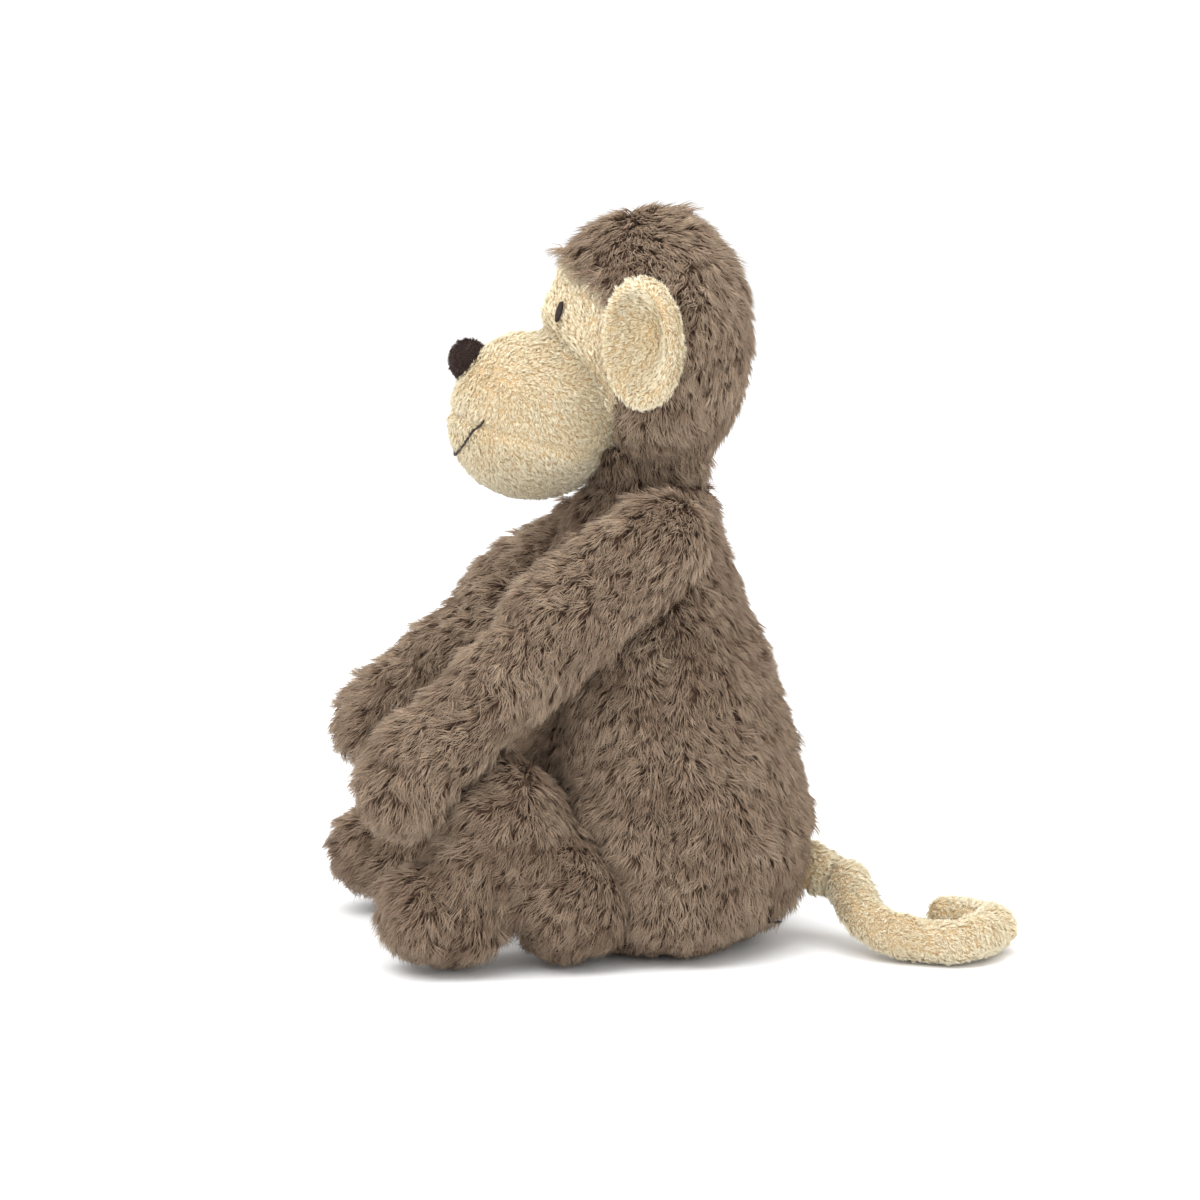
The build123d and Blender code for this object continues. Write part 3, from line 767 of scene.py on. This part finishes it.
for side, flip in (("left", 1), ("right", -1)):
    nodes = [f"ear_{side}_{part}" for part in ("lining", "back", "stuffing")]
    skin = skin_from(nodes, 1.1, 5)
    skin = puffed(skin, 3.0, 0.6)
    turn = math.radians(EAR_TURN)
    out = np.array([flip * math.cos(turn), math.sin(turn), 0])
    facing = np.array([flip * math.sin(turn), -math.cos(turn), 0])
    hinge = JOINT[f"ear_fold_{side}"]
    p, nrm = points_of(skin), normals_of(skin)
    centre = hinge + out * EAR_REACH
    ear_size = [EAR_HALF_WIDE, EAR_HALF_WIDE, EAR_HALF_TALL]
    dish = lambda c: EAR_DISH * (
        ((c - centre) @ out / EAR_HALF_WIDE) ** 2 + ((c[:, 2] - centre[2]) / EAR_HALF_TALL) ** 2
    ) - EAR_SINK
    a = ((p - centre) @ out) / EAR_HALF_WIDE
    b = (p[:, 2] - centre[2]) / EAR_HALF_TALL
    r = np.sqrt(a * a + b * b)
    front = step((p - centre) @ facing, -0.5, 1.5)
    p = p - nrm * 0.9
    p = p + facing * (EAR_DISH * r**2 - EAR_SINK)[:, None] - UP * EAR_DROP
    p = p - facing * (front * 2.6 * (1 - step(r, 0.35, 0.85)))[:, None]
    p = p + facing * (front * 1.3 * np.exp(-(((r - 0.88) / 0.12) ** 2)))[:, None]
    move_points(skin, p)
    for part, sign in (("lining", 1), ("back", -1)):
        keep = lambda c: (((c - centre) @ facing - dish(c)) * sign) > 0
        piece = part_of(skin, f"ear_{side}_{part}_skin", keep)
        dress(piece, f"ear_{side}", "cream", [nodes[0], nodes[2]] if part == "lining" else [nodes[1]])
        grow_pile(
            piece, f"ear_{side}", "cream", lambda q: unit(q - centre) + [0, 0, -0.4], 300 + flip + 5 * sign,
            # darker tone in the middle of the lining: painted shade in the ear's hollow
            shade=lambda q: (
                -0.42 * np.exp(-((np.linalg.norm((q - centre) / ear_size, axis=1) / 0.5) ** 2)) * (sign > 0)
            ),
        )
    bpy.data.objects.remove(skin)

# ---------------------------------------------------------------- arms

for side, flip in (("left", 1), ("right", -1)):
    nodes = [f"arm_{side}_{part}" for part in ("outer_panel", "inner_panel", "stuffing")]
    low, high = corners(*nodes)
    root = JOINT[f"shoulder_{side}"]
    hand = np.array([flip * max(abs(low[0]), abs(high[0])) - flip * 15.5, low[1] + 15.5, low[2] + 15.5])
    along = unit(hand - root)
    span = np.linalg.norm(hand - root)
    skin = skin_from(nodes, 2.2, 5)
    skin = puffed(skin, 3.0, 0.8)
    p, nrm = points_of(skin), normals_of(skin)
    t = ((p - root) @ along) / span
    p = p - nrm * 2.4
    top = unit(UP - along * (UP @ along))
    thick = np.exp(-(((t - 0.30) / 0.24) ** 2)) * step(nrm @ top, -0.2, 0.7)
    p = p + top * (4.5 * thick)[:, None]
    p = p - nrm * (0.9 * np.exp(-(((t - 0.16) / 0.09) ** 2)))[:, None]
    p = p - nrm * (0.8 * np.exp(-(((t - 0.80) / 0.07) ** 2)))[:, None]
    p = p + nrm * (noise(p, 30, 13 + flip, 2) * 1.0)[:, None]
    p = p + np.array([0, 1.5, -2.6]) * step(t, 0.8, 1.15)[:, None]
    across = unit(np.cross(along, UP))
    seam = (p - root) @ across
    p = groove(p, nrm, seam, 0.9, 1.8)
    move_points(skin, p)
    for part, sign in (("outer", flip), ("inner", -flip)):
        keep = lambda c: ((c - root)[:, 0] - ((c - root) @ along) * along[0]) * sign > 0
        piece = part_of(skin, f"arm_{side}_{part}_skin", keep)
        dress(piece, f"arm_{side}", "brown", [nodes[0], nodes[2]] if part == "outer" else [nodes[1]])
        grow_pile(
            piece, f"arm_{side}", "brown", lambda q: np.tile(along + [0, 0, -0.35], (len(q), 1)),
            400 + flip + 5 * sign, length=lambda q: 0.95 + 0.15 * step(((q - root) @ along) / span, 0.8, 1.1),
        )
    bpy.data.objects.remove(skin)

# ---------------------------------------------------------------- legs

FOOT_LENGTH = 33
FOOT_TOP = 36

for side, flip in (("left", 1), ("right", -1)):
    leg_parts = ("outer_panel", "inner_panel", "stuffing", "foot_panel", "foot_bean_fill")
    nodes = [f"leg_{side}_{part}" for part in leg_parts]
    low, high = corners(*nodes)
    foot_low, foot_high = corners(nodes[3])
    root = JOINT[f"hip_{side}"]
    skin = skin_from(nodes, 2.2, 5)
    skin = puffed(skin, 3.0, 0.8)
    p, nrm = points_of(skin), normals_of(skin)
    p = p - nrm * 2.4
    knee = p[np.argmax(p[:, 2])]
    p = p + nrm * (4.6 * np.exp(-(((p - knee) / [18, 17, 17]) ** 2).sum(1)))[:, None]
    p = p + nrm * (noise(p, 26, 15 + flip, 2) * 1.0)[:, None]
    ankle = p[:, 1] - (foot_low[1] + FOOT_LENGTH)
    p = groove(p, nrm, np.where(p[:, 2] < 30, ankle, 99), 1.6, 2.0)
    p[:, 2] = np.maximum(p[:, 2], 0.3)
    move_points(skin, p)
    mid_x = (low[0] + high[0]) / 2
    on_foot = lambda c: (c[:, 1] < foot_low[1] + FOOT_LENGTH) & (c[:, 2] < FOOT_TOP)
    zones = {
        "foot": on_foot,
        "outer": lambda c: ~on_foot(c) & (c[:, 0] * flip > mid_x * flip),
        "inner": lambda c: ~on_foot(c) & (c[:, 0] * flip <= mid_x * flip),
    }
    stands = {"foot": nodes[3:], "outer": [nodes[0], nodes[2]], "inner": [nodes[1]]}
    for i, (part, keep) in enumerate(zones.items()):
        piece = part_of(skin, f"leg_{side}_{part}_skin", keep)
        dress(piece, f"leg_{side}", "brown", stands[part])
        grow_pile(
            piece, f"leg_{side}", "brown", lambda q: np.tile([0.0, -0.5, -1.0], (len(q), 1)),
            500 + flip + 3 * i,
            length=lambda q: 0.42 + 0.56 * step(q[:, 2], 1.5, 12.0), shade=lambda q: np.full(len(q), -0.20),
        )
    bpy.data.objects.remove(skin)

# ---------------------------------------------------------------- tail

tail_seam = JOINT["tail_lift"]
for stem, body, nodes, seed in (
    ("tail_root", "tail_root", ["tail_root_sleeve", "tail_root_stuffing"], 600),
    ("tail", "tail", ["tail_sleeve", "tail_stuffing"], 610),
):
    skin = skin_from(nodes, 1.1, 6)
    skin.name = stem + "_skin"
    skin = puffed(skin, 3.0, 0.5)
    p, nrm = points_of(skin), normals_of(skin)
    p = p - nrm * 0.7 + nrm * (noise(p, 14, seed, 2) * 0.45)[:, None]
    p[:, 2] = np.maximum(p[:, 2], 0.3)
    move_points(skin, p)
    dress(skin, body, "cream", nodes)
    grow_pile(
        skin, body, "cream", lambda q: np.tile([0.35, 0.8, -0.25], (len(q), 1)), seed + 1,
        length=lambda q: (1.4 if stem == "tail_root" else 1.0) * np.ones(len(q)),
        keep=lambda q: q[:, 1] > tail_root[1] + 2,
        shade=lambda q: (-0.12 if stem == "tail_root" else 0.0) * np.ones(len(q)),
    )

# ---------------------------------------------------------------- care label: a blank loop of satin tape

LABEL_TUCK = 3.0

low, high = corners("care_label")
high[1] = high[1] - LABEL_TUCK
wide = np.linspace(low[0], high[0], 9)
loop_path = [
    (low[1], -0.5), (high[1] - 1.2, -0.5), (high[1] - 0.3, -0.3), (high[1], 0.0),
    (high[1] - 0.3, 0.3), (high[1] - 1.2, 0.5), (low[1], 0.5),
]
mid_z = (low[2] + high[2]) / 2
outer = [[(x, y, mid_z + z * 1.1 + 0.25 * math.sin(x)) for x in wide] for y, z in loop_path]
inner = [[(x, y - 0.15, mid_z + z * 0.7 + 0.25 * math.sin(x)) for x in wide] for y, z in loop_path]
sheet_points = np.array(outer + inner[::-1]).reshape(-1, 3)
rings = len(outer) + len(inner)
sheet_faces = []
for i in range(rings):
    for k in range(len(wide) - 1):
        a, b = i * len(wide) + k, ((i + 1) % rings) * len(wide) + k
        sheet_faces.append([a, a + 1, b + 1, b])
label = mesh_object("care_label_tape", sheet_points, sheet_faces)
label.data.materials.append(MAT["label"])
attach(label, "torso")
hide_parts("care_label")

# ---------------------------------------------------------------- studio

SWEEP = 6000
FLOOR_WHITE = (0.96, 0.96, 0.96, 1)
WORLD_STRENGTH = 1.06
LENS = 128.9
CAMERA_RISE = 9.3
CAMERA_TURN = 86
CAMERA_AWAY = 1.3

floor_points = [[-SWEEP, -SWEEP, 0], [SWEEP, -SWEEP, 0], [SWEEP, SWEEP, 0], [-SWEEP, SWEEP, 0]]
floor = mesh_object("floor", floor_points, [[0, 1, 2, 3]], smooth=False)
floor_material = bpy.data.materials.new("floor")
floor_material.use_nodes = True
floor_shader = floor_material.node_tree.nodes["Principled BSDF"]
floor_shader.inputs["Base Color"].default_value = FLOOR_WHITE
floor_shader.inputs["Roughness"].default_value = 0.6
floor.data.materials.append(floor_material)

world = bpy.data.worlds.new("studio")
bpy.context.scene.world = world
world.use_nodes = True
world.node_tree.nodes["Background"].inputs["Color"].default_value = (1, 1, 1, 1)
world.node_tree.nodes["Background"].inputs["Strength"].default_value = WORLD_STRENGTH


def softbox(name, place, target, size, power):
    light = bpy.data.lights.new(name, "AREA")
    light.shape = "RECTANGLE"
    light.size, light.size_y = size
    light.energy = power
    obj = bpy.data.objects.new(name, light)
    bpy.context.scene.collection.objects.link(obj)
    obj.location = place
    obj.rotation_euler = (Vector(target) - Vector(place)).to_track_quat("-Z", "Y").to_euler()
    return obj


softbox("key", (0.5, -0.75, 1.25), (0, 0, 0.1), (0.9, 0.9), 13)
softbox("top", (0.15, 0.1, 1.5), (0, 0, 0.1), (1.2, 1.2), 12)
softbox("fill", (1.1, 0.7, 0.6), (0, 0, 0.1), (0.9, 0.9), 4)

camera = bpy.data.cameras.new("camera")
camera.lens = LENS
camera.sensor_width = 36
view = bpy.data.objects.new("camera", camera)
bpy.context.scene.collection.objects.link(view)
aim = Vector((0, -12.1, 104.6)) * MM
lift_angle = math.radians(CAMERA_RISE)
turn_angle = math.radians(CAMERA_TURN)
flat = math.cos(lift_angle)
back = Vector((math.sin(turn_angle) * flat, -math.cos(turn_angle) * flat, math.sin(lift_angle)))
view.location = aim + back * CAMERA_AWAY
view.rotation_euler = (-back).to_track_quat("-Z", "Y").to_euler()
bpy.context.scene.camera = view
bpy.context.scene.view_settings.view_transform = "Standard"
